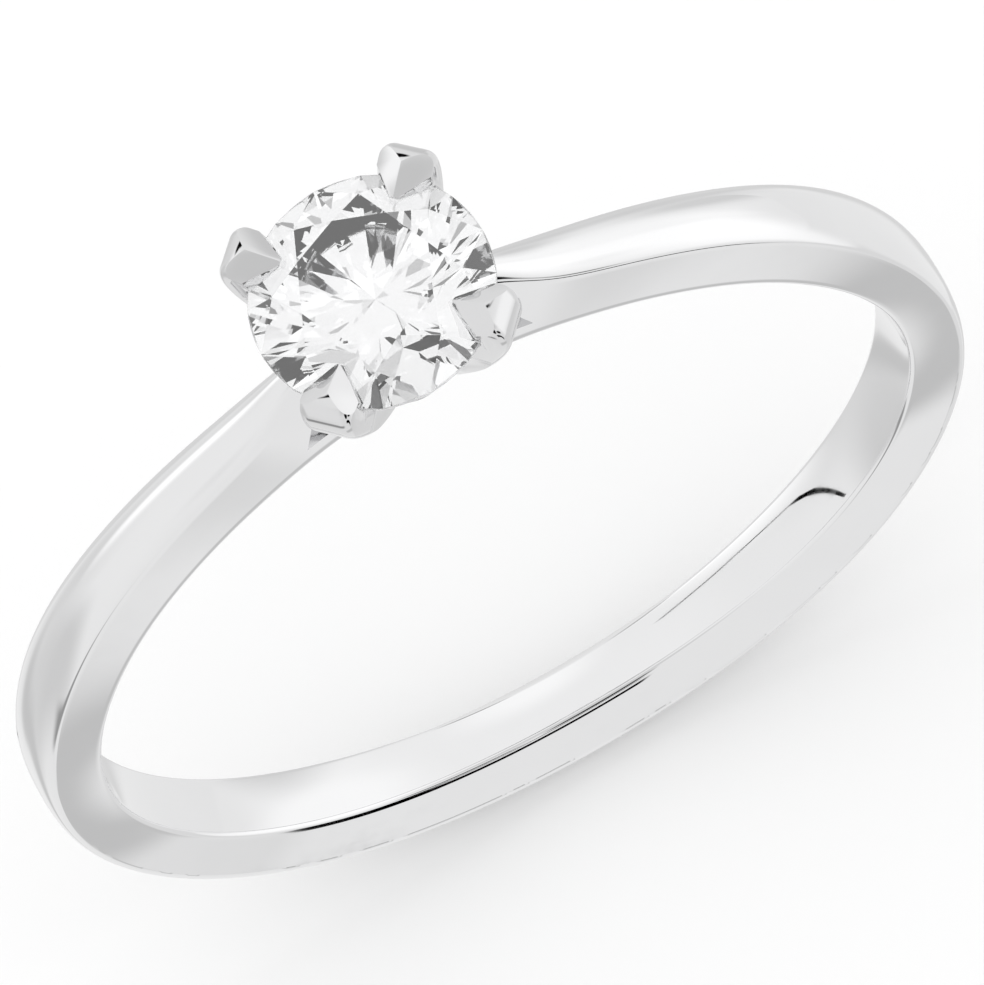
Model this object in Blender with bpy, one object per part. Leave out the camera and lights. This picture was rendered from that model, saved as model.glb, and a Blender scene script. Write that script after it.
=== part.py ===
"""Four-claw solitaire engagement ring. The origin is the centre of the finger hole, +Z runs up through the
stone and +Y along the axis of the hole. Lengths are in millimetres until a mesh is made, then in metres."""

import math

import bmesh
import bpy
from mathutils import Matrix, Vector

MM = 0.001
GAP = 0.02  # between two pieces that touch
SAME_POINT = 1e-4  # points closer than this are one
ON_PLANE = 1e-5
SMOOTH_BELOW = 35  # degrees between faces that are shaded as one surface
CUTTER_HALF_LENGTH = 4.0  # longer than any wall it crosses

# Shank
FINGER_RADIUS = 8.5
INNER_ROUNDING = 0.10
COMFORT_RISE = 0.03  # how far the inner face falls back at its edges
BRIDGE_THICKNESS = 0.5  # the thin stretch of the hoop under the head
HOOP_STEPS = 96
SIDE_STEPS = 4
DOME_STEPS = 5
INNER_STEPS = 2
CORNER_STEPS = 3

# The dome over the crease: powers of its width and of its rise. The shoulders are filed to a crisp crease. It
# fades between these two angles from the head, in degrees, into the softly rounded rest of the hoop.
CRISP_DOME = (0.74, 2.0)
SOFT_DOME = (0.83, 0.83)
CRISP_UNTIL = 45
SOFT_FROM = 95

# The section of the hoop at angles from the head, in degrees: half-width at the inner edge, half-width at
# the crease, height of the crease over the inner face, height of the dome over the crease.
SHANK_STATIONS = (
    (10, 0.53, 0.28, 2.46, 0.28),
    (16, 0.57, 0.47, 1.84, 0.27),
    (23, 0.63, 0.55, 1.55, 0.27),
    (43, 0.74, 0.635, 1.28, 0.30),
    (72, 0.83, 0.775, 1.01, 0.19),
    (112, 0.715, 0.90, 0.97, 0.385),
    (145, 0.64, 0.945, 0.965, 0.57),
    (180, 0.53, 0.92, 0.90, 0.70),
)

# Windows between the bridge, the shoulder ends and the head, as half-widths and heights of their corners
WINDOW_FOOT = (2.37, 8.60)
WINDOW_KNEE = (2.07, 9.42)
WINDOW_TOP = (1.42, 10.12)
ARC_STEPS = 12
POCKET_OVERLAP = 0.4  # how far the pocket for the gallery runs past it, above and below

# Stone: a round brilliant
STONE_RADIUS = 2.30
GIRDLE_HEIGHT = 12.20
GIRDLE_THICKNESS = 0.07
TABLE_SHARE = 0.57
CROWN_ANGLE = math.radians(34.5)
PAVILION_ANGLE = math.radians(40.75)
STAR_SHARE = 0.5
LOWER_HALF_SHARE = 0.77
SYMMETRY = 8
GIRDLE_STEPS = 64
SEAT_INNER_SHARE = 0.4  # of the stone's radius: the seat cutter is open inside it
FACET_MATCH = math.radians(0.2)  # hull triangles closer than this are one facet

# Gallery: the scalloped cone between the claws
GALLERY_BOTTOM = 10.20
GALLERY_TOP = 11.30
GALLERY_OUTER_BOTTOM = 1.42
GALLERY_OUTER_TOP = 1.90
GALLERY_WALL = 0.38
GALLERY_EDGE = 0.06
SCALLOP_RADIUS = 1.30
SCALLOP_HEIGHT = 12.15

# Base ring, saddled on the bridge
BASE_OUTER = 0.92
BASE_INNER = 0.48
BASE_BOTTOM = 8.60
BASE_TOP = 9.70
BASE_EDGE = 0.08
ROUND_STEPS = 64

# Claws, each drawn in its own upright plane as (distance from the stone's axis, height)
CLAW_AZIMUTHS = {
    "claw_front_left": 225,
    "claw_front_right": 315,
    "claw_rear_left": 135,
    "claw_rear_right": 45,
}
CLAW_OUTER_CURVE = ((0.96, 9.25), (2.25, 10.60), (3.52, 12.70), (2.30, 13.00))
CLAW_INNER_CURVE = ((0.62, 9.25), (1.08, 10.20), (1.95, 11.10), (2.12, 12.00))
CLAW_TIP_TOP = (1.67, 12.80)
CLAW_TIP_UNDER = (1.67, 12.60)
CLAW_HALF_WIDTH = 0.525
CLAW_TIP_HALF_WIDTH = 0.06
CLAW_POINT_ANGLE = math.radians(36)  # each flank of the pointed tip, from the claw's own plane
CLAW_POINT_LEAN = 0.34  # how far those flanks fall back for each millimetre down, to clear the foot
CLAW_ROOF_ANGLE = math.radians(33)  # each upper facet, from the horizontal
CLAW_LEAN_HEIGHT = 11.40
CLAW_FLANK_LEAN = 0.13  # how fast the claw narrows towards its foot
CLAW_BACK_ROUNDING = 0.24
BACK_ROUNDING_STEPS = 4
CLAW_SMOOTH_BELOW = 25  # degrees between faces that are shaded as one surface
OUTER_STEPS = 12
INNER_CURVE_STEPS = 7

# Materials
WHITE_METAL = (0.80, 0.80, 0.81)
CLAW_METAL = (0.83, 0.83, 0.84)
STONE_COLOUR = (0.97, 0.98, 1.0)
DIAMOND_IOR = 2.417


def make_collection(name, helper=False):
    collection = bpy.data.collections.new(name)
    bpy.context.scene.collection.children.link(collection)
    collection.hide_render = helper
    return collection


def make_material(name, colour, metallic, roughness):
    material = bpy.data.materials.new(name)
    material.use_nodes = True
    shader = material.node_tree.nodes["Principled BSDF"]
    shader.inputs["Base Color"].default_value = (*colour, 1.0)
    shader.inputs["Metallic"].default_value = metallic
    shader.inputs["Roughness"].default_value = roughness
    return material


def make_object(name, bm, collection, material=None):
    """The object of a bmesh that was drawn in millimetres, as a wire helper where it has no material."""
    bmesh.ops.recalc_face_normals(bm, faces=bm.faces)
    bmesh.ops.scale(bm, vec=(MM, MM, MM), verts=bm.verts)
    mesh = bpy.data.meshes.new(name)
    bm.to_mesh(mesh)
    bm.free()
    obj = bpy.data.objects.new(name, mesh)
    collection.objects.link(obj)
    if material:
        mesh.materials.append(material)
    else:
        obj.hide_render = True
        obj.display_type = "WIRE"
    return obj


def shade_by_angle(obj, degrees):
    obj.data.shade_smooth()
    obj.data.set_sharp_from_angle(angle=math.radians(degrees))


def make_metal_piece(name, bm, collection, colour, roughness):
    return make_object(name, bm, collection, make_material(name + "_metal", colour, 1.0, roughness))


def cut(obj, cutter):
    modifier = obj.modifiers.new("cut_" + cutter.name, "BOOLEAN")
    modifier.operation = "DIFFERENCE"
    modifier.solver = "EXACT"
    modifier.object = cutter


def turned(profile, steps):
    """A bmesh of a closed (radius, height) profile turned about Z."""
    bm = bmesh.new()
    rings = []
    for step in range(steps):
        turn = 2 * math.pi * step / steps
        rings.append([bm.verts.new((r * math.cos(turn), r * math.sin(turn), z)) for r, z in profile])
    count = len(profile)
    for step in range(steps):
        here = rings[step]
        there = rings[(step + 1) % steps]
        for i in range(count):
            j = (i + 1) % count
            bm.faces.new((here[i], there[i], there[j], here[j]))
    return bm


def prism(outline, depth):
    """A bmesh of an (x, z) outline, extruded along Y to both sides by depth."""
    bm = bmesh.new()
    front = [bm.verts.new((x, -depth, z)) for x, z in outline]
    face = bm.faces.new(front)
    grown = bmesh.ops.extrude_face_region(bm, geom=[face])
    moved = [item for item in grown["geom"] if isinstance(item, bmesh.types.BMVert)]
    bmesh.ops.translate(bm, verts=moved, vec=(0, 2 * depth, 0))
    return bm


def rod(radius, height, turn):
    """A bmesh of a level cylinder through the axis of the stone."""
    bm = bmesh.new()
    length = 2 * CUTTER_HALF_LENGTH
    bmesh.ops.create_cone(
        bm, cap_ends=True, segments=ROUND_STEPS, radius1=radius, radius2=radius, depth=length
    )
    bmesh.ops.rotate(bm, verts=bm.verts, matrix=Matrix.Rotation(math.pi / 2, 3, "Y"))
    bmesh.ops.rotate(bm, verts=bm.verts, matrix=Matrix.Rotation(turn, 3, "Z"))
    bmesh.ops.translate(bm, verts=bm.verts, vec=(0, 0, height))
    return bm


def slice_off(bm, point, normal):
    """Takes away what lies beyond a plane and closes the cut with one face."""
    everything = bm.verts[:] + bm.edges[:] + bm.faces[:]
    result = bmesh.ops.bisect_plane(
        bm, geom=everything, dist=ON_PLANE, plane_co=point, plane_no=normal, clear_outer=True
    )
    rim = [item for item in result["geom_cut"] if isinstance(item, bmesh.types.BMEdge)]
    bmesh.ops.edgenet_fill(bm, edges=rim)


def bezier(controls, share):
    """The point of a cubic curve at a share of its length in parameter."""
    rest = 1 - share
    weights = (rest**3, 3 * rest**2 * share, 3 * rest * share**2, share**3)
    return tuple(sum(w * c[i] for w, c in zip(weights, controls)) for i in range(2))


def station_slopes(stations, column):
    """The slope of one dimension at each station: from its neighbours, and level at the last one."""
    slopes = [(stations[1][column] - stations[0][column]) / (stations[1][0] - stations[0][0])]
    for before, after in zip(stations, stations[2:]):
        slopes.append((after[column] - before[column]) / (after[0] - before[0]))
    return slopes + [0.0]


def at_angle(stations, degrees, column):
    """One dimension of the section at an angle from the head, on a smooth curve through the stations."""
    degrees = min(max(degrees, stations[0][0]), stations[-1][0])
    slopes = station_slopes(stations, column)
    for i, (low, high) in enumerate(zip(stations, stations[1:])):
        if degrees <= high[0]:
            break
    span = high[0] - low[0]
    s = (degrees - low[0]) / span
    return (
        (2 * s**3 - 3 * s**2 + 1) * low[column]
        + (s**3 - 2 * s**2 + s) * span * slopes[i]
        + (3 * s**2 - 2 * s**3) * high[column]
        + (s**3 - s**2) * span * slopes[i + 1]
    )


def crispness(degrees):
    """1 where the crease is a filed edge, near the head, falling to 0 where the hoop is softly rounded."""
    s = (degrees - CRISP_UNTIL) / (SOFT_FROM - CRISP_UNTIL)
    s = min(max(s, 0), 1)
    return 1 - s * s * (3 - 2 * s)


def shank_section(degrees):
    """Half of the hoop's section as (y, radius), from the middle of the inner face round to the top."""
    inner, crease, height, dome = (at_angle(SHANK_STATIONS, degrees, column) for column in range(1, 5))
    points = []
    flat = inner - INNER_ROUNDING
    for i in range(INNER_STEPS + 1):
        y = flat * i / INNER_STEPS
        points.append((y, FINGER_RADIUS + COMFORT_RISE * (y / flat) ** 2))
    for i in range(1, CORNER_STEPS):
        turn = math.pi / 2 * i / CORNER_STEPS
        points.append(
            (
                flat + INNER_ROUNDING * math.sin(turn),
                FINGER_RADIUS + COMFORT_RISE + INNER_ROUNDING * (1 - math.cos(turn)),
            )
        )
    side_foot = COMFORT_RISE + INNER_ROUNDING
    for i in range(SIDE_STEPS):
        s = i / SIDE_STEPS
        points.append((inner + (crease - inner) * s, FINGER_RADIUS + side_foot + (height - side_foot) * s))
    crisp = crispness(degrees)
    width_power, rise_power = (soft + (hard - soft) * crisp for soft, hard in zip(SOFT_DOME, CRISP_DOME))
    for i in range(DOME_STEPS + 1):
        turn = math.pi / 2 * i / DOME_STEPS
        y = crease * max(math.cos(turn), 0) ** width_power
        points.append((y, FINGER_RADIUS + height + dome * math.sin(turn) ** rise_power))
    points[-1] = (0.0, FINGER_RADIUS + height + dome)
    return points


def shank_mesh():
    bm = bmesh.new()
    rings = []
    for step in range(HOOP_STEPS):
        turn = 2 * math.pi * step / HOOP_STEPS
        degrees = abs(math.degrees(turn) - 360 * round(step / HOOP_STEPS))
        half = shank_section(degrees)
        loop = half + [(-y, r) for y, r in reversed(half[1:-1])]
        rings.append([bm.verts.new((r * math.sin(turn), y, r * math.cos(turn))) for y, r in loop])
    count = len(rings[0])
    for step in range(HOOP_STEPS):
        here = rings[step]
        there = rings[(step + 1) % HOOP_STEPS]
        for i in range(count):
            j = (i + 1) % count
            bm.faces.new((here[i], here[j], there[j], there[i]))
    return bm


def window_outline():
    """The opening above the bridge: the bridge's upper face, then both slanting shoulder ends."""
    bridge = FINGER_RADIUS + BRIDGE_THICKNESS
    reach = math.asin(WINDOW_FOOT[0] / bridge)
    arc = []
    for i in range(ARC_STEPS + 1):
        turn = reach * (2 * i / ARC_STEPS - 1)
        arc.append((bridge * math.sin(turn), bridge * math.cos(turn)))
    mirrored = [(-x, z) for x, z in (WINDOW_TOP, WINDOW_KNEE)]
    return arc + [WINDOW_KNEE, WINDOW_TOP] + mirrored


def gallery_outer(height):
    share = (height - GALLERY_BOTTOM) / (GALLERY_TOP - GALLERY_BOTTOM)
    return GALLERY_OUTER_BOTTOM + (GALLERY_OUTER_TOP - GALLERY_OUTER_BOTTOM) * share


def head_pocket_mesh():
    """What the shoulders leave free for the gallery."""
    low = WINDOW_TOP[1] - POCKET_OVERLAP
    high = GALLERY_TOP + POCKET_OVERLAP
    bm = bmesh.new()
    bmesh.ops.create_cone(
        bm,
        cap_ends=True,
        segments=ROUND_STEPS,
        radius1=gallery_outer(low) + GAP,
        radius2=gallery_outer(high) + GAP,
        depth=high - low,
    )
    bmesh.ops.translate(bm, verts=bm.verts, vec=(0, 0, (low + high) / 2))
    return bm


def gallery_mesh():
    edge = GALLERY_EDGE
    profile = (
        (GALLERY_OUTER_BOTTOM - edge, GALLERY_BOTTOM),
        (gallery_outer(GALLERY_BOTTOM + edge), GALLERY_BOTTOM + edge),
        (gallery_outer(GALLERY_TOP - edge), GALLERY_TOP - edge),
        (GALLERY_OUTER_TOP - edge, GALLERY_TOP),
        (GALLERY_OUTER_TOP - GALLERY_WALL, GALLERY_TOP),
        (GALLERY_OUTER_BOTTOM - GALLERY_WALL, GALLERY_BOTTOM),
    )
    return turned(profile, ROUND_STEPS)


def base_ring_mesh():
    edge = BASE_EDGE
    profile = (
        (BASE_INNER, BASE_BOTTOM),
        (BASE_OUTER, BASE_BOTTOM),
        (BASE_OUTER, BASE_TOP - edge),
        (BASE_OUTER - edge, BASE_TOP),
        (BASE_INNER + edge, BASE_TOP),
        (BASE_INNER, BASE_TOP - edge),
    )
    return turned(profile, ROUND_STEPS)


def girdle_top():
    return GIRDLE_HEIGHT + GIRDLE_THICKNESS / 2


def girdle_bottom():
    return GIRDLE_HEIGHT - GIRDLE_THICKNESS / 2


def at(radius, azimuth, height):
    return Vector((radius * math.cos(azimuth), radius * math.sin(azimuth), height))


def height_on_plane(a, b, c, x, y):
    """The height over (x, y) of the plane through three points."""
    normal = (b - a).cross(c - a)
    return a.z - (normal.x * (x - a.x) + normal.y * (y - a.y)) / normal.z


def stone_mesh():
    """The corners of a brilliant's facets, wrapped in their hull: each facet is flat, so it fits."""
    step = 2 * math.pi / SYMMETRY
    half = step / 2
    table = TABLE_SHARE * STONE_RADIUS
    table_height = girdle_top() + (STONE_RADIUS - table) * math.tan(CROWN_ANGLE)
    flat_of_table = table * math.cos(half)
    star = flat_of_table + STAR_SHARE * (STONE_RADIUS - flat_of_table)
    star_height = girdle_top() + (STONE_RADIUS - star * math.cos(half)) * math.tan(CROWN_ANGLE)
    lower = (1 - LOWER_HALF_SHARE) * STONE_RADIUS
    lower_height = girdle_bottom() - (STONE_RADIUS - lower * math.cos(half)) * math.tan(PAVILION_ANGLE)
    culet = Vector((0, 0, girdle_bottom() - STONE_RADIUS * math.tan(PAVILION_ANGLE)))
    points = [culet]
    for k in range(SYMMETRY):
        points.append(at(table, k * step, table_height))
        points.append(at(star, k * step + half, star_height))
        points.append(at(lower, k * step + half, lower_height))
    per_half = GIRDLE_STEPS // (2 * SYMMETRY)
    for k in range(2 * SYMMETRY):
        near = k * half
        far = near + half
        joint = near + half if k % 2 == 0 else near
        upper = (
            at(STONE_RADIUS, near, girdle_top()),
            at(STONE_RADIUS, far, girdle_top()),
            at(star, joint, star_height),
        )
        under = (
            at(STONE_RADIUS, near, girdle_bottom()),
            at(STONE_RADIUS, far, girdle_bottom()),
            at(lower, joint, lower_height),
        )
        for i in range(per_half):
            azimuth = near + half * i / per_half
            rim = at(STONE_RADIUS, azimuth, 0)
            points.append(at(STONE_RADIUS, azimuth, height_on_plane(*upper, rim.x, rim.y)))
            points.append(at(STONE_RADIUS, azimuth, height_on_plane(*under, rim.x, rim.y)))
    bm = bmesh.new()
    for point in points:
        bm.verts.new(point)
    hull = bmesh.ops.convex_hull(bm, input=bm.verts)
    bmesh.ops.delete(bm, geom=hull["geom_interior"] + hull["geom_unused"], context="VERTS")
    bmesh.ops.dissolve_limit(bm, angle_limit=FACET_MATCH, verts=bm.verts, edges=bm.edges)
    return bm


def stone_seat_mesh():
    """The stone as a turned shape, larger by the gap: it cuts the notch and the underside of each claw."""
    grown = STONE_RADIUS + GAP
    crown_rise = math.tan(CROWN_ANGLE)
    pavilion_fall = math.tan(PAVILION_ANGLE)
    top = girdle_top() + GAP
    bottom = girdle_bottom() - GAP
    inner = STONE_RADIUS * SEAT_INNER_SHARE
    profile = (
        (inner, bottom - (grown - inner) * pavilion_fall),
        (grown, bottom),
        (grown, top),
        (inner, top + (grown - inner) * crown_rise),
    )
    return turned(profile, ROUND_STEPS)


def runs_along(edge, curve):
    """Whether an edge of an upright prism lies on one side of it and follows an (x, z) curve."""
    a, b = edge.verts
    off_curve = [min(math.hypot(v.co.x - x, v.co.z - z) for x, z in curve) for v in (a, b)]
    return abs(a.co.y - b.co.y) < SAME_POINT and max(off_curve) < SAME_POINT


def claw_mesh(azimuth, grow=0.0):
    """A claw: an upright outline given a width, rounded along the back and filed to a three-sided point."""
    outer = [bezier(CLAW_OUTER_CURVE, i / OUTER_STEPS) for i in range(OUTER_STEPS + 1)]
    inner = [bezier(CLAW_INNER_CURVE, i / INNER_CURVE_STEPS) for i in range(INNER_CURVE_STEPS + 1)]
    outline = outer + [CLAW_TIP_TOP, CLAW_TIP_UNDER] + [(r - grow, z) for r, z in reversed(inner)]
    half_width = CLAW_HALF_WIDTH + grow
    bm = prism(outline, half_width)
    back = [edge for edge in bm.edges if runs_along(edge, outer)]
    bmesh.ops.bevel(
        bm, geom=back, offset=CLAW_BACK_ROUNDING, segments=BACK_ROUNDING_STEPS, profile=0.5, affect="EDGES"
    )
    bmesh.ops.remove_doubles(bm, verts=bm.verts, dist=SAME_POINT)
    apex = Vector((CLAW_OUTER_CURVE[-1][0], 0, CLAW_OUTER_CURVE[-1][1] + grow))
    ridge = Vector((CLAW_TIP_TOP[0], 0, CLAW_TIP_TOP[1] + grow)) - apex
    for side in (-1, 1):
        down = Vector((0, side * math.cos(CLAW_ROOF_ANGLE), -math.sin(CLAW_ROOF_ANGLE)))
        roof = ridge.cross(down)
        roof = roof if roof.z > 0 else -roof
        slice_off(bm, apex, roof)
        point = Vector((CLAW_TIP_TOP[0] - grow, side * CLAW_TIP_HALF_WIDTH, CLAW_TIP_TOP[1]))
        across = side * math.cos(CLAW_POINT_ANGLE)
        inward = -math.sin(CLAW_POINT_ANGLE)
        slice_off(bm, point, Vector((inward, across, -inward * CLAW_POINT_LEAN)))
        shoulder = Vector((0, side * half_width, CLAW_LEAN_HEIGHT))
        slice_off(bm, shoulder, Vector((0, side, -CLAW_FLANK_LEAN)))
    bmesh.ops.rotate(bm, verts=bm.verts, matrix=Matrix.Rotation(math.radians(azimuth), 3, "Z"))
    return bm


def build():
    for obj in list(bpy.data.objects):
        bpy.data.objects.remove(obj)
    ring = make_collection("engagement_ring")
    cutters = make_collection("cutters", helper=True)

    shank = make_metal_piece("shank", shank_mesh(), ring, WHITE_METAL, 0.08)
    gallery = make_metal_piece("gallery", gallery_mesh(), ring, WHITE_METAL, 0.12)
    base = make_metal_piece("base_ring", base_ring_mesh(), ring, WHITE_METAL, 0.14)
    stone_material = make_material("diamond", STONE_COLOUR, 0.0, 0.0)
    stone_shader = stone_material.node_tree.nodes["Principled BSDF"]
    stone_shader.inputs["IOR"].default_value = DIAMOND_IOR
    stone_shader.inputs["Transmission Weight"].default_value = 1.0
    make_object("diamond", stone_mesh(), ring, stone_material)

    window = make_object("head_window", prism(window_outline(), CUTTER_HALF_LENGTH), cutters)
    pocket = make_object("head_pocket", head_pocket_mesh(), cutters)
    cut(shank, window)
    cut(shank, pocket)

    for name, turn in (("scallop_across", 0.0), ("scallop_along", math.pi / 2)):
        cut(gallery, make_object(name, rod(SCALLOP_RADIUS, SCALLOP_HEIGHT, turn), cutters))
    saddle_radius = FINGER_RADIUS + BRIDGE_THICKNESS + GAP
    saddle = make_object("bridge_saddle", rod(saddle_radius, 0.0, math.pi / 2), cutters)
    cut(base, saddle)

    seat = make_object("stone_seat", stone_seat_mesh(), cutters)
    for name, azimuth in CLAW_AZIMUTHS.items():
        claw = make_metal_piece(name, claw_mesh(azimuth), ring, CLAW_METAL, 0.08)
        cut(claw, seat)
        notch = make_object(name + "_notch", claw_mesh(azimuth, GAP), cutters)
        cut(gallery, notch)
        cut(base, notch)
        shade_by_angle(claw, CLAW_SMOOTH_BELOW)
    for obj in (shank, gallery, base):
        shade_by_angle(obj, SMOOTH_BELOW)


build()
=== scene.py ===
"""Looks for the four-claw solitaire engagement ring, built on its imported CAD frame. The origin is the centre
of the finger hole, +Z runs up through the stone and +Y along the axis of the hole. Pieces are drawn in
millimetres and scaled to metres when their mesh is made."""

import math

import bmesh
import bpy
from mathutils import Matrix, Vector


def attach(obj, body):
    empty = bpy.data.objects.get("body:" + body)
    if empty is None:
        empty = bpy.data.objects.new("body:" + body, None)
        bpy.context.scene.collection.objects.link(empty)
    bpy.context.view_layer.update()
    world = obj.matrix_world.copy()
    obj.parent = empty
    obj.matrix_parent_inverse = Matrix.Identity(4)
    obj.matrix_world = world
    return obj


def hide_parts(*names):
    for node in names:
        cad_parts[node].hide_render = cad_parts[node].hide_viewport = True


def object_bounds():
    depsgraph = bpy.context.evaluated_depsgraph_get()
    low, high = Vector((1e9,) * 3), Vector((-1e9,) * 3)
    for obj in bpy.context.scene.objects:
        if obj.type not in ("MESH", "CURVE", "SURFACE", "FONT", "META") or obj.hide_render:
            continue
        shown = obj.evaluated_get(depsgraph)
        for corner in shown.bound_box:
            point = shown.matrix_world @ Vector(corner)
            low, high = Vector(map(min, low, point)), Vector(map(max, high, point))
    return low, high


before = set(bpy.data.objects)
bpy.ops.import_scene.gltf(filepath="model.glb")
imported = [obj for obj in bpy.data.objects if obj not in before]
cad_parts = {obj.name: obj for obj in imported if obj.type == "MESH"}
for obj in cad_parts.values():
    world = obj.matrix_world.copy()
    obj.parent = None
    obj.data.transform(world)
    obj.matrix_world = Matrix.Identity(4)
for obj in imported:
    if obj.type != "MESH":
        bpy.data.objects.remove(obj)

cad_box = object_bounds()

MM = 0.001
GAP = 0.02  # between two pieces that touch
SAME_POINT = 1e-4  # points closer than this are one
ON_PLANE = 1e-5
SMOOTH_BELOW = 30  # degrees between faces that are shaded as one surface
WINDOW_CUTTER_HALF_LENGTH = 3.0  # both longer than any wall they cross
ROD_HALF_LENGTH = 4.0

# Shank
FINGER_RADIUS = 8.5
INNER_ROUNDING = 0.10
COMFORT_RISE = 0.03  # how far the inner face falls back at its edges
BRIDGE_THICKNESS = 0.5  # the thin stretch of the hoop under the head
HOOP_STEPS = 360
SIDE_STEPS = 12
DOME_STEPS = 22
INNER_STEPS = 5
CORNER_STEPS = 6
CREASE_STEPS = 7
CREASE_ROUNDING = 0.05

# The dome over the crease: powers of its width and of its rise. The shoulders are filed to a crisp crease. It
# fades between these two angles from the head, in degrees, into the softly rounded rest of the hoop.
CRISP_DOME = (0.74, 2.0)
SOFT_DOME = (0.83, 0.83)
CRISP_UNTIL = 45
SOFT_FROM = 95
SMOOTHING_ROUNDS = 12  # of averaging along the hoop, which takes the kinks out at the stations

# The section of the hoop at angles from the head, in degrees: half-width at the inner edge, half-width at
# the crease, height of the crease over the inner face, height of the dome over the crease.
SHANK_STATIONS = (
    (10, 0.53, 0.28, 2.46, 0.28),
    (16, 0.57, 0.47, 1.84, 0.27),
    (23, 0.63, 0.55, 1.55, 0.27),
    (43, 0.74, 0.635, 1.28, 0.30),
    (72, 0.83, 0.775, 1.01, 0.19),
    (112, 0.715, 0.90, 0.97, 0.385),
    (145, 0.64, 0.945, 0.965, 0.57),
    (180, 0.53, 0.92, 0.90, 0.70),
)

# Windows between the bridge, the shoulder ends and the head, as half-widths and heights of their corners
WINDOW_FOOT = (2.37, 8.60)
WINDOW_KNEE = (2.07, 9.42)
WINDOW_TOP = (1.42, 10.12)
ARC_STEPS = 48
POCKET_OVERLAP = 0.4

# Stone: a round brilliant
STONE_RADIUS = 2.30
GIRDLE_HEIGHT = 12.20
GIRDLE_THICKNESS = 0.07
TABLE_SHARE = 0.57
CROWN_ANGLE = math.radians(34.5)
PAVILION_ANGLE = math.radians(40.75)
STAR_SHARE = 0.5
LOWER_HALF_SHARE = 0.77
SYMMETRY = 8
GIRDLE_STEPS = 128
SEAT_INNER_SHARE = 0.4  # of the stone's radius: the seat cutter is open inside it
FACET_MATCH = math.radians(0.2)  # hull triangles closer than this are one facet

# Gallery and base ring
GALLERY_BOTTOM = 10.20
GALLERY_TOP = 11.30
GALLERY_OUTER_BOTTOM = 1.42
GALLERY_OUTER_TOP = 1.90
GALLERY_WALL = 0.38
SCALLOP_RADIUS = 1.30
SCALLOP_HEIGHT = 12.15
BASE_OUTER = 0.92
BASE_INNER = 0.48
BASE_BOTTOM = 8.60
BASE_TOP = 9.70
EDGE_RADIUS = 0.08
EDGE_STEPS = 5
ROUND_STEPS = 192

# Claws, each drawn in its own upright plane as (distance from the stone's axis, height)
CLAW_AZIMUTHS = {
    "claw_front_left": 225,
    "claw_front_right": 315,
    "claw_rear_left": 135,
    "claw_rear_right": 45,
}
CLAW_OUTER_CURVE = ((0.96, 9.25), (2.25, 10.60), (3.52, 12.70), (2.30, 13.00))
CLAW_INNER_CURVE = ((0.62, 9.25), (1.08, 10.20), (1.95, 11.10), (2.12, 12.00))
CLAW_TIP_TOP = (1.67, 12.80)
CLAW_TIP_UNDER = (1.67, 12.60)
CLAW_HALF_WIDTH = 0.525
CLAW_TIP_HALF_WIDTH = 0.06
CLAW_POINT_ANGLE = math.radians(36)  # each flank of the pointed tip, from the claw's own plane
CLAW_POINT_LEAN = 0.34  # how far those flanks fall back for each millimetre down, to clear the foot
CLAW_ROOF_ANGLE = math.radians(33)  # each upper facet, from the horizontal
CLAW_LEAN_HEIGHT = 11.40
CLAW_FLANK_LEAN = 0.13  # how fast the claw narrows towards its foot
CLAW_BACK_ROUNDING = 0.24
BACK_ROUNDING_STEPS = 10
CLAW_EDGE = 0.055  # what polishing takes off the edges
CLAW_EDGE_STEPS = 3
CLAW_EDGE_ANGLE = math.radians(20)  # edges flatter than this are left alone
CLAW_SMOOTH_BELOW = 25
OUTER_STEPS = 40
INNER_CURVE_STEPS = 20

# Materials: the scales of their noises, per metre, and the stretch of their hairlines
CLOUD_SCALE = 350
HAIRLINE_SCALE = 900
HAZE_SCALE = 2600
WAVE_SCALE = 700
WAVE_DEPTH = 0.01
WAVE_STRENGTH = 0.15
ROUND_THE_HOOP = (1, 12, 1)
DOWN_THE_CLAW = (8, 8, 1)
ROUND_THE_STONE = (1, 1, 10)
WHITE_METAL = (0.86, 0.86, 0.865)
CLAW_METAL = (0.76, 0.76, 0.765)
CLOUD_SHADE = 0.975  # of the metal's colour, in its darker clouds
NOISE_LOW = 0.3  # the middle of a noise, which holds most of its values
NOISE_HIGH = 0.7
SHANK_ROUGHNESS = 0.045
GALLERY_ROUGHNESS = 0.07
BASE_RING_ROUGHNESS = 0.09
CLAW_ROUGHNESS = 0.05
DIAMOND_INDEX = 2.417
GROUND_ROUGHNESS = (0.15, 0.35)  # of the girdle

# Camera, seen from the finger hole's centre
CAMERA_AZIMUTH = math.radians(-3.84)
CAMERA_ELEVATION = math.radians(66.52)
CAMERA_ROLL = math.radians(-25.99)
CAMERA_DISTANCE = 344.83
CAMERA_OFFSET = (0.041, 0.749)
CAMERA_LENS = 673.5

# Surroundings
FLOOR_HALF_WIDTH = 1500
FLOOR_GREY = 0.9
FLOOR_ROUGHNESS = 0.9
OPEN_LEVEL = 1.15  # what the camera and matt surfaces see
SPARKLE_SOFTNESS = 0.2
LEAST_REACH = 1e-4  # keeps the map's division finite straight up
PAINTED_REFLECTION_BEHIND = 4  # along +Y: where the dark strips of painted reflection stand


def make_object(name, bm):
    """The object of a bmesh that was drawn in millimetres."""
    bmesh.ops.recalc_face_normals(bm, faces=bm.faces)
    bmesh.ops.scale(bm, vec=(MM, MM, MM), verts=bm.verts)
    mesh = bpy.data.meshes.new(name)
    bm.to_mesh(mesh)
    bm.free()
    obj = bpy.data.objects.new(name, mesh)
    bpy.context.scene.collection.objects.link(obj)
    return obj


def shade_by_angle(obj, degrees):
    obj.data.shade_smooth()
    obj.data.set_sharp_from_angle(angle=math.radians(degrees))


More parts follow.
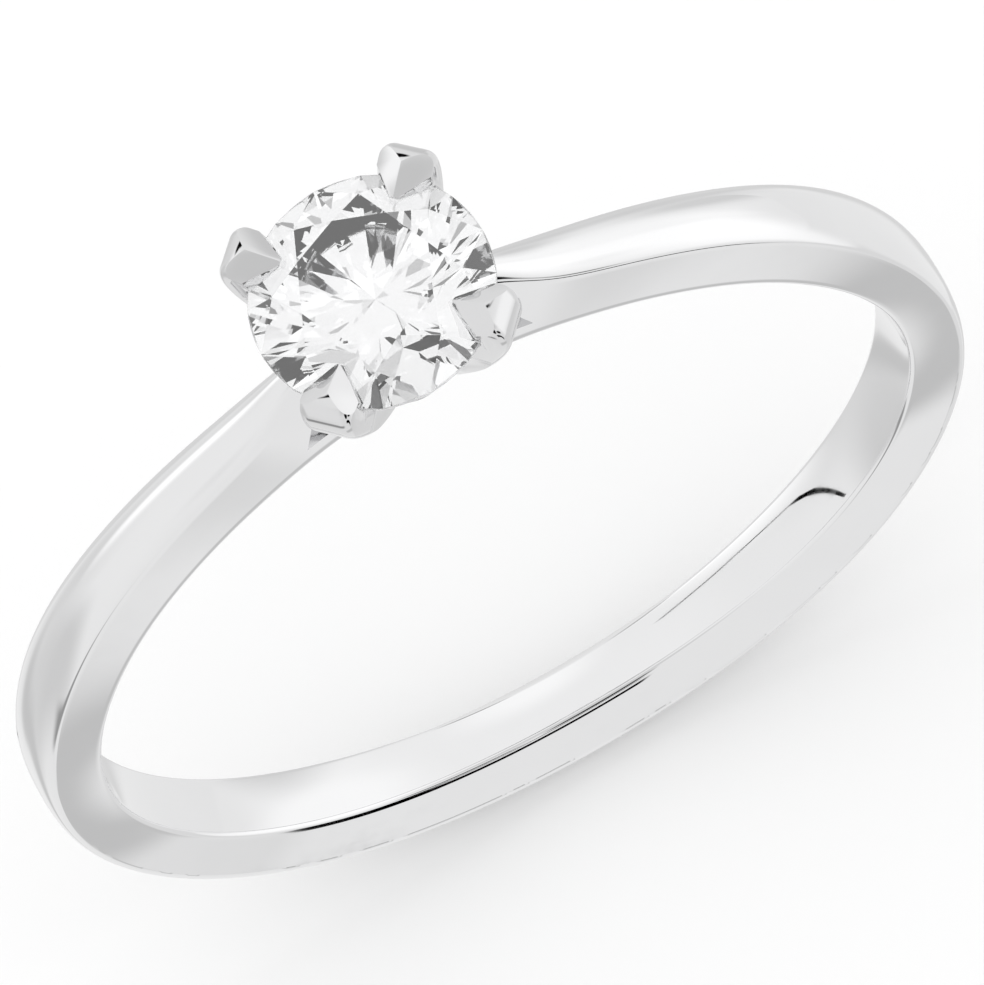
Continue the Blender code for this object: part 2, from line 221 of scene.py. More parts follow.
def cut_all(obj, cutters):
    """Cuts helpers away from a piece, keeps the result as its mesh and removes the helpers."""
    for cutter in cutters:
        modifier = obj.modifiers.new("cut", "BOOLEAN")
        modifier.operation = "DIFFERENCE"
        modifier.solver = "EXACT"
        modifier.object = cutter
    settle(obj)
    for cutter in cutters:
        bpy.data.objects.remove(cutter)


def settle(obj):
    """Makes the evaluated shape of a piece its own mesh."""
    graph = bpy.context.evaluated_depsgraph_get()
    mesh = bpy.data.meshes.new_from_object(obj.evaluated_get(graph))
    obj.modifiers.clear()
    obj.data = mesh


def soften(obj, width, steps, angle):
    """Rounds the edges that polishing would round."""
    modifier = obj.modifiers.new("soften", "BEVEL")
    modifier.width = width * MM
    modifier.segments = steps
    modifier.limit_method = "ANGLE"
    modifier.angle_limit = angle
    modifier.harden_normals = False
    settle(obj)


def turned(profile, steps):
    """A bmesh of a closed (radius, height) profile turned about Z."""
    bm = bmesh.new()
    rings = []
    for step in range(steps):
        turn = 2 * math.pi * step / steps
        rings.append([bm.verts.new((r * math.cos(turn), r * math.sin(turn), z)) for r, z in profile])
    count = len(profile)
    for step in range(steps):
        here = rings[step]
        there = rings[(step + 1) % steps]
        for i in range(count):
            j = (i + 1) % count
            bm.faces.new((here[i], there[i], there[j], here[j]))
    return bm


def prism(outline, depth):
    """A bmesh of an (x, z) outline, extruded along Y to both sides by depth."""
    bm = bmesh.new()
    face = bm.faces.new([bm.verts.new((x, -depth, z)) for x, z in outline])
    grown = bmesh.ops.extrude_face_region(bm, geom=[face])
    moved = [item for item in grown["geom"] if isinstance(item, bmesh.types.BMVert)]
    bmesh.ops.translate(bm, verts=moved, vec=(0, 2 * depth, 0))
    return bm


def rod(radius, height, turn):
    """A bmesh of a level cylinder through the axis of the stone."""
    bm = bmesh.new()
    length = 2 * ROD_HALF_LENGTH
    bmesh.ops.create_cone(
        bm, cap_ends=True, segments=ROUND_STEPS, radius1=radius, radius2=radius, depth=length
    )
    bmesh.ops.rotate(bm, verts=bm.verts, matrix=Matrix.Rotation(math.pi / 2, 3, "Y"))
    bmesh.ops.rotate(bm, verts=bm.verts, matrix=Matrix.Rotation(turn, 3, "Z"))
    bmesh.ops.translate(bm, verts=bm.verts, vec=(0, 0, height))
    return bm


def slice_off(bm, point, normal):
    """Takes away what lies beyond a plane and closes the cut with one face."""
    everything = bm.verts[:] + bm.edges[:] + bm.faces[:]
    result = bmesh.ops.bisect_plane(
        bm, geom=everything, dist=ON_PLANE, plane_co=point, plane_no=normal, clear_outer=True
    )
    rim = [item for item in result["geom_cut"] if isinstance(item, bmesh.types.BMEdge)]
    bmesh.ops.edgenet_fill(bm, edges=rim)


def bezier(controls, share):
    rest = 1 - share
    weights = (rest**3, 3 * rest**2 * share, 3 * rest * share**2, share**3)
    return tuple(sum(w * c[i] for w, c in zip(weights, controls)) for i in range(2))


def station_slopes(stations, column):
    slopes = [(stations[1][column] - stations[0][column]) / (stations[1][0] - stations[0][0])]
    for before, after in zip(stations, stations[2:]):
        slopes.append((after[column] - before[column]) / (after[0] - before[0]))
    return slopes + [0.0]


def at_angle(stations, degrees, column):
    """One dimension of the section at an angle from the head, on a smooth curve through the stations."""
    degrees = min(max(degrees, stations[0][0]), stations[-1][0])
    slopes = station_slopes(stations, column)
    for i, (low, high) in enumerate(zip(stations, stations[1:])):
        if degrees <= high[0]:
            break
    span = high[0] - low[0]
    s = (degrees - low[0]) / span
    return (
        (2 * s**3 - 3 * s**2 + 1) * low[column]
        + (s**3 - 2 * s**2 + s) * span * slopes[i]
        + (3 * s**2 - 2 * s**3) * high[column]
        + (s**3 - s**2) * span * slopes[i + 1]
    )


def smoothed(values):
    """A ring of values with its kinks averaged out."""
    for _ in range(SMOOTHING_ROUNDS):
        count = len(values)
        values = [
            (values[i - 1] + 2 * values[i] + values[(i + 1) % count]) / 4 for i in range(count)
        ]
    return values


def crispness(degrees):
    """1 where the crease is a filed edge, near the head, falling to 0 where the hoop is softly rounded."""
    s = (degrees - CRISP_UNTIL) / (SOFT_FROM - CRISP_UNTIL)
    s = min(max(s, 0), 1)
    return 1 - s * s * (3 - 2 * s)


def shank_section(crisp, inner, crease, height, dome):
    """Half of the hoop's section as (y, radius), from the middle of the inner face round to the top."""
    points = []
    flat = inner - INNER_ROUNDING
    for i in range(INNER_STEPS + 1):
        y = flat * i / INNER_STEPS
        points.append((y, FINGER_RADIUS + COMFORT_RISE * (y / flat) ** 2))
    for i in range(1, CORNER_STEPS):
        turn = math.pi / 2 * i / CORNER_STEPS
        points.append(
            (
                flat + INNER_ROUNDING * math.sin(turn),
                FINGER_RADIUS + COMFORT_RISE + INNER_ROUNDING * (1 - math.cos(turn)),
            )
        )
    side_foot = COMFORT_RISE + INNER_ROUNDING
    filing = CREASE_ROUNDING * crisp
    run = height - side_foot - filing
    for i in range(SIDE_STEPS + 1):
        s = i / SIDE_STEPS * run / (height - side_foot)
        points.append((inner + (crease - inner) * s, FINGER_RADIUS + side_foot + (height - side_foot) * s))
    width_power, rise_power = (soft + (hard - soft) * crisp for soft, hard in zip(SOFT_DOME, CRISP_DOME))
    start = math.acos(max(1 - filing / crease, 0))
    corner = Vector((crease, FINGER_RADIUS + height))
    side_end = Vector(points[-1])
    turns = [start + (math.pi / 2 - start) * (i / DOME_STEPS) for i in range(DOME_STEPS + 1)]
    foot = FINGER_RADIUS + height
    arc = [
        (crease * max(math.cos(t), 0) ** width_power, foot + dome * math.sin(t) ** rise_power) for t in turns
    ]
    dome_start = Vector(arc[0])
    for i in range(1, CREASE_STEPS):
        s = i / CREASE_STEPS
        points.append(tuple(side_end * (1 - s) ** 2 + corner * 2 * s * (1 - s) + dome_start * s**2))
    points += arc
    points[-1] = (0.0, FINGER_RADIUS + height + dome)
    return points


def shank_mesh():
    turns = [2 * math.pi * step / HOOP_STEPS for step in range(HOOP_STEPS)]
    from_head = [math.degrees(min(turn, 2 * math.pi - turn)) for turn in turns]
    sizes = [smoothed([at_angle(SHANK_STATIONS, a, column) for a in from_head]) for column in range(1, 5)]
    bm = bmesh.new()
    rings = []
    for turn, degrees, *size in zip(turns, from_head, *sizes):
        half = shank_section(crispness(degrees), *size)
        loop = half + [(-y, r) for y, r in reversed(half[1:-1])]
        rings.append([bm.verts.new((r * math.sin(turn), y, r * math.cos(turn))) for y, r in loop])
    count = len(rings[0])
    for step in range(HOOP_STEPS):
        here = rings[step]
        there = rings[(step + 1) % HOOP_STEPS]
        for i in range(count):
            j = (i + 1) % count
            bm.faces.new((here[i], here[j], there[j], there[i]))
    return bm


def window_outline():
    """The opening above the bridge: the bridge's upper face, then both slanting shoulder ends."""
    bridge = FINGER_RADIUS + BRIDGE_THICKNESS
    reach = math.asin(WINDOW_FOOT[0] / bridge)
    arc = []
    for i in range(ARC_STEPS + 1):
        turn = reach * (2 * i / ARC_STEPS - 1)
        arc.append((bridge * math.sin(turn), bridge * math.cos(turn)))
    mirrored = [(-x, z) for x, z in (WINDOW_TOP, WINDOW_KNEE)]
    return arc + [WINDOW_KNEE, WINDOW_TOP] + mirrored


def gallery_outer(height):
    share = (height - GALLERY_BOTTOM) / (GALLERY_TOP - GALLERY_BOTTOM)
    return GALLERY_OUTER_BOTTOM + (GALLERY_OUTER_TOP - GALLERY_OUTER_BOTTOM) * share


def head_pocket_mesh():
    """What the shoulders leave free for the gallery."""
    low = WINDOW_TOP[1] - POCKET_OVERLAP
    high = GALLERY_TOP + POCKET_OVERLAP
    bm = bmesh.new()
    bmesh.ops.create_cone(
        bm,
        cap_ends=True,
        segments=ROUND_STEPS,
        radius1=gallery_outer(low) + GAP,
        radius2=gallery_outer(high) + GAP,
        depth=high - low,
    )
    bmesh.ops.translate(bm, verts=bm.verts, vec=(0, 0, (low + high) / 2))
    return bm


def rounded_profile(corners, radius, steps):
    """A closed outline with each corner replaced by an arc-like curve."""
    points = []
    count = len(corners)
    for i in range(count):
        here = Vector(corners[i])
        before = (Vector(corners[i - 1]) - here).normalized() * radius
        after = (Vector(corners[(i + 1) % count]) - here).normalized() * radius
        for k in range(steps + 1):
            s = k / steps
            points.append(tuple(here + before * (1 - s) ** 2 + after * s**2))
    return points


def gallery_mesh():
    corners = (
        (GALLERY_OUTER_BOTTOM, GALLERY_BOTTOM),
        (GALLERY_OUTER_TOP, GALLERY_TOP),
        (GALLERY_OUTER_TOP - GALLERY_WALL, GALLERY_TOP),
        (GALLERY_OUTER_BOTTOM - GALLERY_WALL, GALLERY_BOTTOM),
    )
    return turned(rounded_profile(corners, EDGE_RADIUS, EDGE_STEPS), ROUND_STEPS)


def base_ring_mesh():
    corners = (
        (BASE_OUTER, BASE_BOTTOM),
        (BASE_OUTER, BASE_TOP),
        (BASE_INNER, BASE_TOP),
        (BASE_INNER, BASE_BOTTOM),
    )
    return turned(rounded_profile(corners, EDGE_RADIUS, EDGE_STEPS), ROUND_STEPS)


def girdle_top():
    return GIRDLE_HEIGHT + GIRDLE_THICKNESS / 2


def girdle_bottom():
    return GIRDLE_HEIGHT - GIRDLE_THICKNESS / 2


def at(radius, azimuth, height):
    return Vector((radius * math.cos(azimuth), radius * math.sin(azimuth), height))


def height_on_plane(a, b, c, x, y):
    """The height over (x, y) of the plane through three points."""
    normal = (b - a).cross(c - a)
    return a.z - (normal.x * (x - a.x) + normal.y * (y - a.y)) / normal.z


def stone_mesh():
    """The corners of a brilliant's facets, wrapped in their hull, which keeps each flat facet."""
    step = 2 * math.pi / SYMMETRY
    half = step / 2
    table = TABLE_SHARE * STONE_RADIUS
    table_height = girdle_top() + (STONE_RADIUS - table) * math.tan(CROWN_ANGLE)
    flat_of_table = table * math.cos(half)
    star = flat_of_table + STAR_SHARE * (STONE_RADIUS - flat_of_table)
    star_height = girdle_top() + (STONE_RADIUS - star * math.cos(half)) * math.tan(CROWN_ANGLE)
    lower = (1 - LOWER_HALF_SHARE) * STONE_RADIUS
    lower_height = girdle_bottom() - (STONE_RADIUS - lower * math.cos(half)) * math.tan(PAVILION_ANGLE)
    points = [Vector((0, 0, girdle_bottom() - STONE_RADIUS * math.tan(PAVILION_ANGLE)))]
    for k in range(SYMMETRY):
        points.append(at(table, k * step, table_height))
        points.append(at(star, k * step + half, star_height))
        points.append(at(lower, k * step + half, lower_height))
    per_half = GIRDLE_STEPS // (2 * SYMMETRY)
    for k in range(2 * SYMMETRY):
        near = k * half
        far = near + half
        joint = near + half if k % 2 == 0 else near
        upper = (
            at(STONE_RADIUS, near, girdle_top()),
            at(STONE_RADIUS, far, girdle_top()),
            at(star, joint, star_height),
        )
        under = (
            at(STONE_RADIUS, near, girdle_bottom()),
            at(STONE_RADIUS, far, girdle_bottom()),
            at(lower, joint, lower_height),
        )
        for i in range(per_half):
            azimuth = near + half * i / per_half
            rim = at(STONE_RADIUS, azimuth, 0)
            points.append(at(STONE_RADIUS, azimuth, height_on_plane(*upper, rim.x, rim.y)))
            points.append(at(STONE_RADIUS, azimuth, height_on_plane(*under, rim.x, rim.y)))
    bm = bmesh.new()
    for point in points:
        bm.verts.new(point)
    hull = bmesh.ops.convex_hull(bm, input=bm.verts)
    bmesh.ops.delete(bm, geom=hull["geom_interior"] + hull["geom_unused"], context="VERTS")
    bmesh.ops.dissolve_limit(bm, angle_limit=FACET_MATCH, verts=bm.verts, edges=bm.edges)
    return bm


def stone_seat_mesh():
    """The stone as a turned shape, larger by the gap: it cuts the notch and the underside of each claw."""
    grown = STONE_RADIUS + GAP
    top = girdle_top() + GAP
    bottom = girdle_bottom() - GAP
    inner = STONE_RADIUS * SEAT_INNER_SHARE
    profile = (
        (inner, bottom - (grown - inner) * math.tan(PAVILION_ANGLE)),
        (grown, bottom),
        (grown, top),
        (inner, top + (grown - inner) * math.tan(CROWN_ANGLE)),
    )
    return turned(profile, ROUND_STEPS)


def runs_along(edge, curve):
    """Whether an edge of an upright prism lies on one side of it and follows an (x, z) curve."""
    a, b = edge.verts
    off_curve = [min(math.hypot(v.co.x - x, v.co.z - z) for x, z in curve) for v in (a, b)]
    return abs(a.co.y - b.co.y) < SAME_POINT and max(off_curve) < SAME_POINT


def claw_mesh(azimuth, grow=0.0):
    """A claw: an upright outline given a width, rounded along the back and filed to a three-sided point."""
    outer = [bezier(CLAW_OUTER_CURVE, i / OUTER_STEPS) for i in range(OUTER_STEPS + 1)]
    inner = [bezier(CLAW_INNER_CURVE, i / INNER_CURVE_STEPS) for i in range(INNER_CURVE_STEPS + 1)]
    outline = outer + [CLAW_TIP_TOP, CLAW_TIP_UNDER] + [(r - grow, z) for r, z in reversed(inner)]
    half_width = CLAW_HALF_WIDTH + grow
    bm = prism(outline, half_width)
    back = [edge for edge in bm.edges if runs_along(edge, outer)]
    bmesh.ops.bevel(
        bm, geom=back, offset=CLAW_BACK_ROUNDING, segments=BACK_ROUNDING_STEPS, profile=0.5, affect="EDGES"
    )
    bmesh.ops.remove_doubles(bm, verts=bm.verts, dist=SAME_POINT)
    apex = Vector((CLAW_OUTER_CURVE[-1][0], 0, CLAW_OUTER_CURVE[-1][1] + grow))
    ridge = Vector((CLAW_TIP_TOP[0], 0, CLAW_TIP_TOP[1] + grow)) - apex
    for side in (-1, 1):
        down = Vector((0, side * math.cos(CLAW_ROOF_ANGLE), -math.sin(CLAW_ROOF_ANGLE)))
        roof = ridge.cross(down)
        roof = roof if roof.z > 0 else -roof
        slice_off(bm, apex, roof)
        point = Vector((CLAW_TIP_TOP[0] - grow, side * CLAW_TIP_HALF_WIDTH, CLAW_TIP_TOP[1]))
        across = side * math.cos(CLAW_POINT_ANGLE)
        inward = -math.sin(CLAW_POINT_ANGLE)
        slice_off(bm, point, Vector((inward, across, -inward * CLAW_POINT_LEAN)))
        shoulder = Vector((0, side * half_width, CLAW_LEAN_HEIGHT))
        slice_off(bm, shoulder, Vector((0, side, -CLAW_FLANK_LEAN)))
    bmesh.ops.rotate(bm, verts=bm.verts, matrix=Matrix.Rotation(math.radians(azimuth), 3, "Z"))
    return bm


def noise(tree, vector, scale, detail):
    texture = tree.nodes.new("ShaderNodeTexNoise")
    texture.inputs["Scale"].default_value = scale
    texture.inputs["Detail"].default_value = detail
    tree.links.new(vector, texture.inputs["Vector"])
    return texture.outputs["Fac"]


def spread(tree, value, low, high):
    """Maps the middle of a noise to the range from low to high."""
    stretch = tree.nodes.new("ShaderNodeMapRange")
    stretch.inputs["From Min"].default_value = NOISE_LOW
    stretch.inputs["From Max"].default_value = NOISE_HIGH
    stretch.inputs["To Min"].default_value = low
    stretch.inputs["To Max"].default_value = high
    tree.links.new(value, stretch.inputs["Value"])
    return stretch.outputs["Result"]


def metal(name, colour, roughness, grain):
    """Polished white metal with faint clouds, hairlines along the grain and the waves of hand polishing."""
    material = bpy.data.materials.new(name)
    material.use_nodes = True
    tree = material.node_tree
    shader = tree.nodes["Principled BSDF"]
    shader.inputs["Metallic"].default_value = 1.0
    place = tree.nodes.new("ShaderNodeTexCoord").outputs["Object"]

    tint = tree.nodes.new("ShaderNodeValToRGB")
    tint.color_ramp.elements[0].position = NOISE_LOW
    tint.color_ramp.elements[0].color = (*(c * CLOUD_SHADE for c in colour), 1)
    tint.color_ramp.elements[1].position = NOISE_HIGH
    tint.color_ramp.elements[1].color = (*colour, 1)
    tree.links.new(noise(tree, place, CLOUD_SCALE, 3), tint.inputs["Fac"])
    tree.links.new(tint.outputs["Color"], shader.inputs["Base Color"])

    stretch = tree.nodes.new("ShaderNodeMapping")
    stretch.inputs["Scale"].default_value = grain
    tree.links.new(place, stretch.inputs["Vector"])
    hairlines = spread(tree, noise(tree, stretch.outputs["Vector"], HAIRLINE_SCALE, 2), 0.7, 1.5)
    haze = spread(tree, noise(tree, place, HAZE_SCALE, 5), roughness * 0.6, roughness * 1.3)
    product = tree.nodes.new("ShaderNodeMath")
    product.operation = "MULTIPLY"
    tree.links.new(hairlines, product.inputs[0])
    tree.links.new(haze, product.inputs[1])
    tree.links.new(product.outputs[0], shader.inputs["Roughness"])

    waves = tree.nodes.new("ShaderNodeBump")
    waves.inputs["Strength"].default_value = WAVE_STRENGTH
    waves.inputs["Distance"].default_value = WAVE_DEPTH * MM
    tree.links.new(noise(tree, place, WAVE_SCALE, 1), waves.inputs["Height"])
    tree.links.new(waves.outputs["Normal"], shader.inputs["Normal"])
    return material


def diamond_material():
    """Clear stone with polished facets, a ground girdle and a trace of colour that varies through it."""
    material = bpy.data.materials.new("diamond_look")
    material.use_nodes = True
    tree = material.node_tree
    shader = tree.nodes["Principled BSDF"]
    shader.inputs["IOR"].default_value = DIAMOND_INDEX
    shader.inputs["Transmission Weight"].default_value = 1.0
    place = tree.nodes.new("ShaderNodeTexCoord").outputs["Object"]

    tint = tree.nodes.new("ShaderNodeValToRGB")
    tint.color_ramp.elements[0].color = (0.985, 0.99, 1.0, 1)
    tint.color_ramp.elements[1].color = (1.0, 1.0, 1.0, 1)
    tree.links.new(noise(tree, place, CLOUD_SCALE, 2), tint.inputs["Fac"])
    tree.links.new(tint.outputs["Color"], shader.inputs["Base Color"])

    apart = tree.nodes.new("ShaderNodeSeparateXYZ")
    tree.links.new(place, apart.inputs["Vector"])
    at_girdle = tree.nodes.new("ShaderNodeMath")
    at_girdle.operation = "COMPARE"
    at_girdle.inputs[1].default_value = GIRDLE_HEIGHT * MM
    at_girdle.inputs[2].default_value = GIRDLE_THICKNESS / 2 * MM
    tree.links.new(apart.outputs["Z"], at_girdle.inputs[0])
    ground = tree.nodes.new("ShaderNodeMath")
    ground.operation = "MULTIPLY"
    tree.links.new(at_girdle.outputs[0], ground.inputs[0])
    tree.links.new(spread(tree, noise(tree, place, HAZE_SCALE, 3), *GROUND_ROUGHNESS), ground.inputs[1])
    tree.links.new(ground.outputs[0], shader.inputs["Roughness"])
    return material


def place_piece(obj, node, material, degrees):
    obj.data.materials.clear()
    obj.data.materials.append(material)
    if degrees:
        shade_by_angle(obj, degrees)
    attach(obj, "root")
    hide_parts(node)


def claw_notches():
    """A slightly larger copy of each claw, to cut room for it."""
    return [make_object("notch", claw_mesh(azimuth, GAP)) for azimuth in CLAW_AZIMUTHS.values()]


shank = make_object("shank_polished", shank_mesh())
window = make_object("window", prism(window_outline(), WINDOW_CUTTER_HALF_LENGTH))
cut_all(shank, [window, make_object("pocket", head_pocket_mesh())])
shank_look = metal("polished_shank", WHITE_METAL, SHANK_ROUGHNESS, ROUND_THE_HOOP)
place_piece(shank, "shank", shank_look, SMOOTH_BELOW)

gallery = make_object("gallery_polished", gallery_mesh())
scallops = [make_object("scallop", rod(SCALLOP_RADIUS, SCALLOP_HEIGHT, turn)) for turn in (0.0, math.pi / 2)]
cut_all(gallery, scallops + claw_notches())
gallery_look = metal("polished_gallery", CLAW_METAL, GALLERY_ROUGHNESS, ROUND_THE_STONE)
place_piece(gallery, "gallery", gallery_look, SMOOTH_BELOW)

base = make_object("base_ring_polished", base_ring_mesh())
saddle = make_object("saddle", rod(FINGER_RADIUS + BRIDGE_THICKNESS + GAP, 0.0, math.pi / 2))
cut_all(base, [saddle] + claw_notches())
base_look = metal("polished_base_ring", CLAW_METAL, BASE_RING_ROUGHNESS, ROUND_THE_STONE)
place_piece(base, "base_ring", base_look, SMOOTH_BELOW)

for name, azimuth in CLAW_AZIMUTHS.items():
    claw = make_object(name + "_polished", claw_mesh(azimuth))
    cut_all(claw, [make_object("seat", stone_seat_mesh())])
    soften(claw, CLAW_EDGE, CLAW_EDGE_STEPS, CLAW_EDGE_ANGLE)
    claw_look = metal("polished_" + name, CLAW_METAL, CLAW_ROUGHNESS, DOWN_THE_CLAW)
    place_piece(claw, name, claw_look, CLAW_SMOOTH_BELOW)

stone = make_object("diamond_brilliant", stone_mesh())
place_piece(stone, "diamond", diamond_material(), 0)

# Camera
toward = Vector(
    (
        math.sin(CAMERA_AZIMUTH) * math.cos(CAMERA_ELEVATION),
        -math.cos(CAMERA_AZIMUTH) * math.cos(CAMERA_ELEVATION),
        math.sin(CAMERA_ELEVATION),
    )
)
level = Vector((0, 0, 1)).cross(toward).normalized()
upward = toward.cross(level)
right = math.cos(CAMERA_ROLL) * level + math.sin(CAMERA_ROLL) * upward
up = math.cos(CAMERA_ROLL) * upward - math.sin(CAMERA_ROLL) * level
lens = bpy.data.cameras.new("camera")
lens.sensor_width = 36
lens.lens = CAMERA_LENS
lens.clip_start = 0.001
camera = bpy.data.objects.new("camera", lens)
bpy.context.scene.collection.objects.link(camera)
pose = Matrix((right, up, toward)).transposed().to_4x4()
pose.translation = (toward * CAMERA_DISTANCE + right * CAMERA_OFFSET[0] + up * CAMERA_OFFSET[1]) * MM
camera.matrix_world = pose
bpy.context.scene.camera = camera

# Studio: what a polished surface sees, drawn on a map of the directions. A point of the map is its distance
# in degrees from straight up, laid off towards its compass direction: +X to the right, +Y upwards on the map.
world = bpy.data.worlds.new("studio")
bpy.context.scene.world = world
world.use_nodes = True
bpy.context.scene.view_settings.view_transform = "Standard"


class StudioMap:
    def __init__(self, tree, level):
        self.tree = tree
        place = tree.nodes.new("ShaderNodeTexCoord")
        apart = tree.nodes.new("ShaderNodeSeparateXYZ")
        tree.links.new(place.outputs["Generated"], apart.inputs["Vector"])
        flat = self.vector("MULTIPLY", place.outputs["Generated"], (1, 1, 0))
        reach = self.vector("LENGTH", flat)
        polar = self.number("ARCCOSINE", apart.outputs["Z"])
        degrees = self.number("MULTIPLY", polar, 180 / math.pi)
        scale = self.number("DIVIDE", degrees, self.number("MAXIMUM", reach, LEAST_REACH))
        self.map = self.vector("SCALE", flat)
        tree.links.new(scale, self.map.node.inputs["Scale"])
        self.value = level

    def vector(self, operation, first, second=None):
        node = self.tree.nodes.new("ShaderNodeVectorMath")
        node.operation = operation
        self.tree.links.new(first, node.inputs[0])
        if second is not None:
            node.inputs[1].default_value = second
        return node.outputs["Value" if operation == "LENGTH" else "Vector"]

    def number(self, operation, first, second=0.0):
        node = self.tree.nodes.new("ShaderNodeMath")
        node.operation = operation
        for socket, value in zip(node.inputs, (first, second)):
            if isinstance(value, float | int):
                socket.default_value = value
            else:
                self.tree.links.new(value, socket)
        return node.outputs[0]

    def mask(self, centre, radii, softness):
        """1 inside an ellipse on the map, 0 outside, with an edge as soft as a share of its radius."""
        moved = self.vector("SUBTRACT", self.map, (*centre, 0))
        squeezed = self.vector("MULTIPLY", moved, (1 / radii[0], 1 / radii[1], 0))
        fade = self.tree.nodes.new("ShaderNodeMapRange")
        fade.interpolation_type = "SMOOTHSTEP"
        fade.inputs["From Min"].default_value = 1 + softness
        fade.inputs["From Max"].default_value = 1 - softness
        self.tree.links.new(self.vector("LENGTH", squeezed), fade.inputs["Value"])
        return fade.outputs["Result"]

    def band(self, centre, radii, width, softness=0.01):
        """1 on a band just outside an ellipse on the map."""
        wide = self.mask(centre, tuple(radius + width for radius in radii), softness)
        return self.number("MULTIPLY", wide, self.number("SUBTRACT", 1.0, self.mask(centre, radii, softness)))

    def lay(self, level, mask):
        """Lays a brightness over what is there, as far as the mask says."""
        mix = self.tree.nodes.new("ShaderNodeMix")
        self.tree.links.new(mask, mix.inputs["Factor"])
        if isinstance(self.value, float | int):
            mix.inputs["A"].default_value = self.value
        else:
            self.tree.links.new(self.value, mix.inputs["A"])
        mix.inputs["B"].default_value = level
        self.value = mix.outputs["Result"]

    def paint(self, level, centre, radii, softness):
        self.lay(level, self.mask(centre, radii, softness))

    def paint_within(self, level, band, centre, radii, softness):
        """Paints the part of a band that lies in an ellipse."""
        self.lay(level, self.number("MULTIPLY", band, self.mask(centre, radii, softness)))


tree = world.node_tree
studio = StudioMap(tree, 0.90)
# overhead and the right-hand wall of the tent
studio.paint(0.98, (20, 0), (75, 70), 0.5)
studio.paint(1.18, (76, -28), (30, 62), 0.6)
studio.paint(0.94, (-75, -5), (30, 75), 0.6)
# the left-hand wall, darker low down
studio.paint(0.70, (-113, 30), (16, 78), 0.6)
studio.paint(0.77, (-82, 75), (28, 30), 0.8)
studio.paint(0.62, (-112, 92), (20, 14), 0.7)
# behind the ring
studio.paint(0.92, (115, 60), (28, 80), 0.5)
studio.paint(0.72, (35, 130), (14, 28), 0.6)
studio.paint(0.72, (55, 100), (15, 28), 0.6)
studio.paint(0.73, (74, 64), (14, 24), 0.6)
studio.paint_within(0.72, studio.band((0, 0), (134, 134), 45, 0.03), (60, 105), (95, 70), 0.4)
studio.paint(0.76, (-36, 125), (22, 28), 0.4)
studio.paint(1.10, (10, 38), (16, 11), 0.7)
studio.paint(1.10, (70, 20), (18, 10), 0.7)
studio.paint(1.22, (-50, 50), (26, 12), 0.6)
# the table in front
studio.paint_within(0.80, studio.band((0, 0), (120, 133), 70, 0.02), (110, -60), (100, 100), 0.3)
studio.paint_within(0.60, studio.band((0, 0), (149, 149), 9, 0.02), (0, -150), (70, 30), 0.4)
# the open front of the tent: a thin dark arc low down, a grey one on the left and a slot for the camera
studio.paint_within(0.90, studio.band((0, 0), (108, 108), 45, 0.004), (128, 48), (58, 78), 0.25)
studio.paint_within(0.0, studio.band((0, -170), (50, 50), 13), (18, -112), (28, 34), 0.04)
studio.paint_within(0.35, studio.band((0, 0), (122, 124), 11, 0.02), (-100, -75), (62, 62), 0.3)
studio.paint(0.0, (-3, -80), (14, 19), 0.15)
studio.paint(0.0, (30, -90), (14, 9), 0.2)
# small dark fittings overhead
studio.paint(0.72, (0, -46), (46, 22), 0.4)
studio.paint(0.0, (0, 0), (30, 4), 0.3)
studio.paint(0.0, (23, 56), (9, 5), 0.3)
studio.paint(0.0, (-21, 56), (9, 5), 0.3)

# what is seen through the stone: bright all round, with a few dark gaps that give it its flashes
sparkle = StudioMap(tree, 1.12)
for level, centre, radii in (
    (0.82, (-32, 30), (20, 13)),
    (0.80, (44, -28), (16, 13)),
    (0.75, (8, 62), (24, 14)),
    (1.30, (0, -48), (12, 10)),
    (0.05, (-2, -24), (7, 7)),
    (0.35, (42, 12), (5, 16)),
    (0.30, (-36, -42), (9, 5)),
    (0.10, (22, 58), (7, 7)),
    (0.40, (-52, 42), (5, 12)),
    (0.03, (66, -52), (7, 10)),
    (0.55, (-12, 78), (12, 4)),
    (0.03, (-70, -20), (5, 9)),
    (0.60, (14, -2), (9, 5)),
    (0.45, (60, 48), (10, 4)),
    (0.08, (-20, 20), (4, 6)),
    (0.50, (20, -60), (12, 5)),
    (0.05, (34, 34), (4, 4)),
    (0.05, (-60, 8), (4, 4)),
):
    sparkle.paint(level, centre, radii, SPARKLE_SOFTNESS)

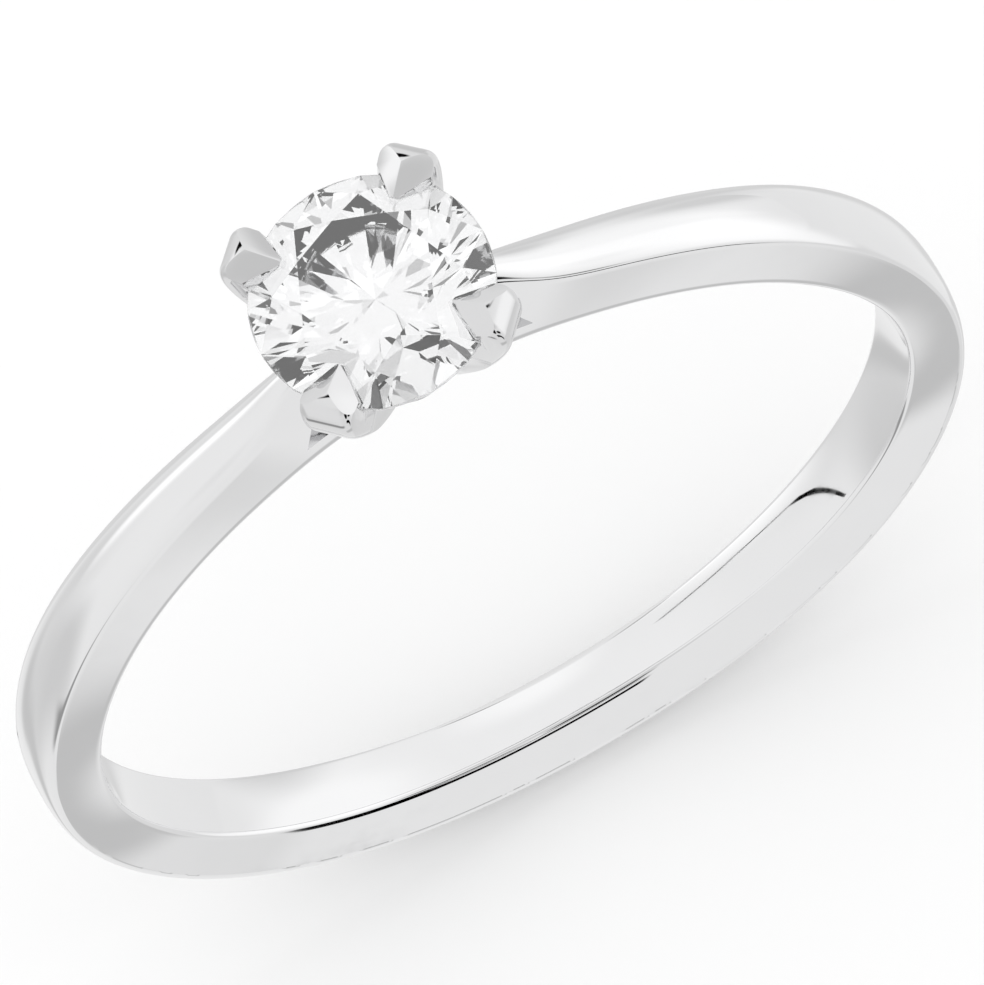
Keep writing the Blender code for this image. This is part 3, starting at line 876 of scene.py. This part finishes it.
background = tree.nodes["Background"]
path = tree.nodes.new("ShaderNodeLightPath")
seen = tree.nodes.new("ShaderNodeMix")
tree.links.new(path.outputs["Is Glossy Ray"], seen.inputs["Factor"])
seen.inputs["A"].default_value = OPEN_LEVEL
tree.links.new(studio.value, seen.inputs["B"])
through = tree.nodes.new("ShaderNodeMix")
tree.links.new(path.outputs["Is Transmission Ray"], through.inputs["Factor"])
tree.links.new(seen.outputs["Result"], through.inputs["A"])
tree.links.new(sparkle.value, through.inputs["B"])
tree.links.new(through.outputs["Result"], background.inputs["Strength"])
background.inputs["Color"].default_value = (1, 1, 1, 1)

floor_bm = bmesh.new()
bmesh.ops.create_grid(floor_bm, x_segments=1, y_segments=1, size=FLOOR_HALF_WIDTH)
bmesh.ops.translate(floor_bm, verts=floor_bm.verts, vec=(0, 0, cad_box[0].z / MM))
floor = make_object("floor", floor_bm)
floor_material = bpy.data.materials.new("floor")
floor_material.use_nodes = True
floor_shader = floor_material.node_tree.nodes["Principled BSDF"]
floor_shader.inputs["Base Color"].default_value = (FLOOR_GREY, FLOOR_GREY, FLOOR_GREY, 1)
floor_shader.inputs["Roughness"].default_value = FLOOR_ROUGHNESS
floor.data.materials.append(floor_material)
floor.visible_glossy = False
floor.visible_transmission = False


def strip(name, path, half_width, depth_at):
    """A dark upright strip along an (x, z) path, seen only in reflections: a painted reflection that lights
    and shades nothing.
    """
    bm = bmesh.new()
    rows = []
    for before, here, after in zip((path[0],) + path, path, path[1:] + (path[-1],)):
        along = (Vector(after) - Vector(before)).normalized()
        side = Vector((-along.y, along.x)) * half_width
        rows.append(
            [bm.verts.new((here[0] + side.x * way, depth_at, here[1] + side.y * way)) for way in (-1, 1)]
        )
    for here, there in zip(rows, rows[1:]):
        bm.faces.new((here[0], here[1], there[1], there[0]))
    obj = make_object(name, bm)
    material = bpy.data.materials.new(name)
    material.use_nodes = True
    shader = material.node_tree.nodes["Principled BSDF"]
    shader.inputs["Base Color"].default_value = (0, 0, 0, 1)
    shader.inputs["Specular IOR Level"].default_value = 0.0
    obj.data.materials.append(material)
    obj.visible_camera = False
    obj.visible_diffuse = False
    obj.visible_transmission = False
    obj.visible_shadow = False


# painted reflection: two dark strips behind the hoop, seen only by glossy rays, which draw dark lines into the
# metal's reflections
painted_reflection_foot = ((-10.5, -6.0), (-5.6, -5.66), (-2.4, -5.42), (-1.6, -5.2))
painted_reflection_side = ((-1.6, -5.3), (-1.45, -4.6), (-1.3, -3.5), (-1.0, -2.4))
strip("painted_reflection_foot", painted_reflection_foot, 0.16, PAINTED_REFLECTION_BEHIND)
strip("painted_reflection_side", painted_reflection_side, 0.06, PAINTED_REFLECTION_BEHIND)
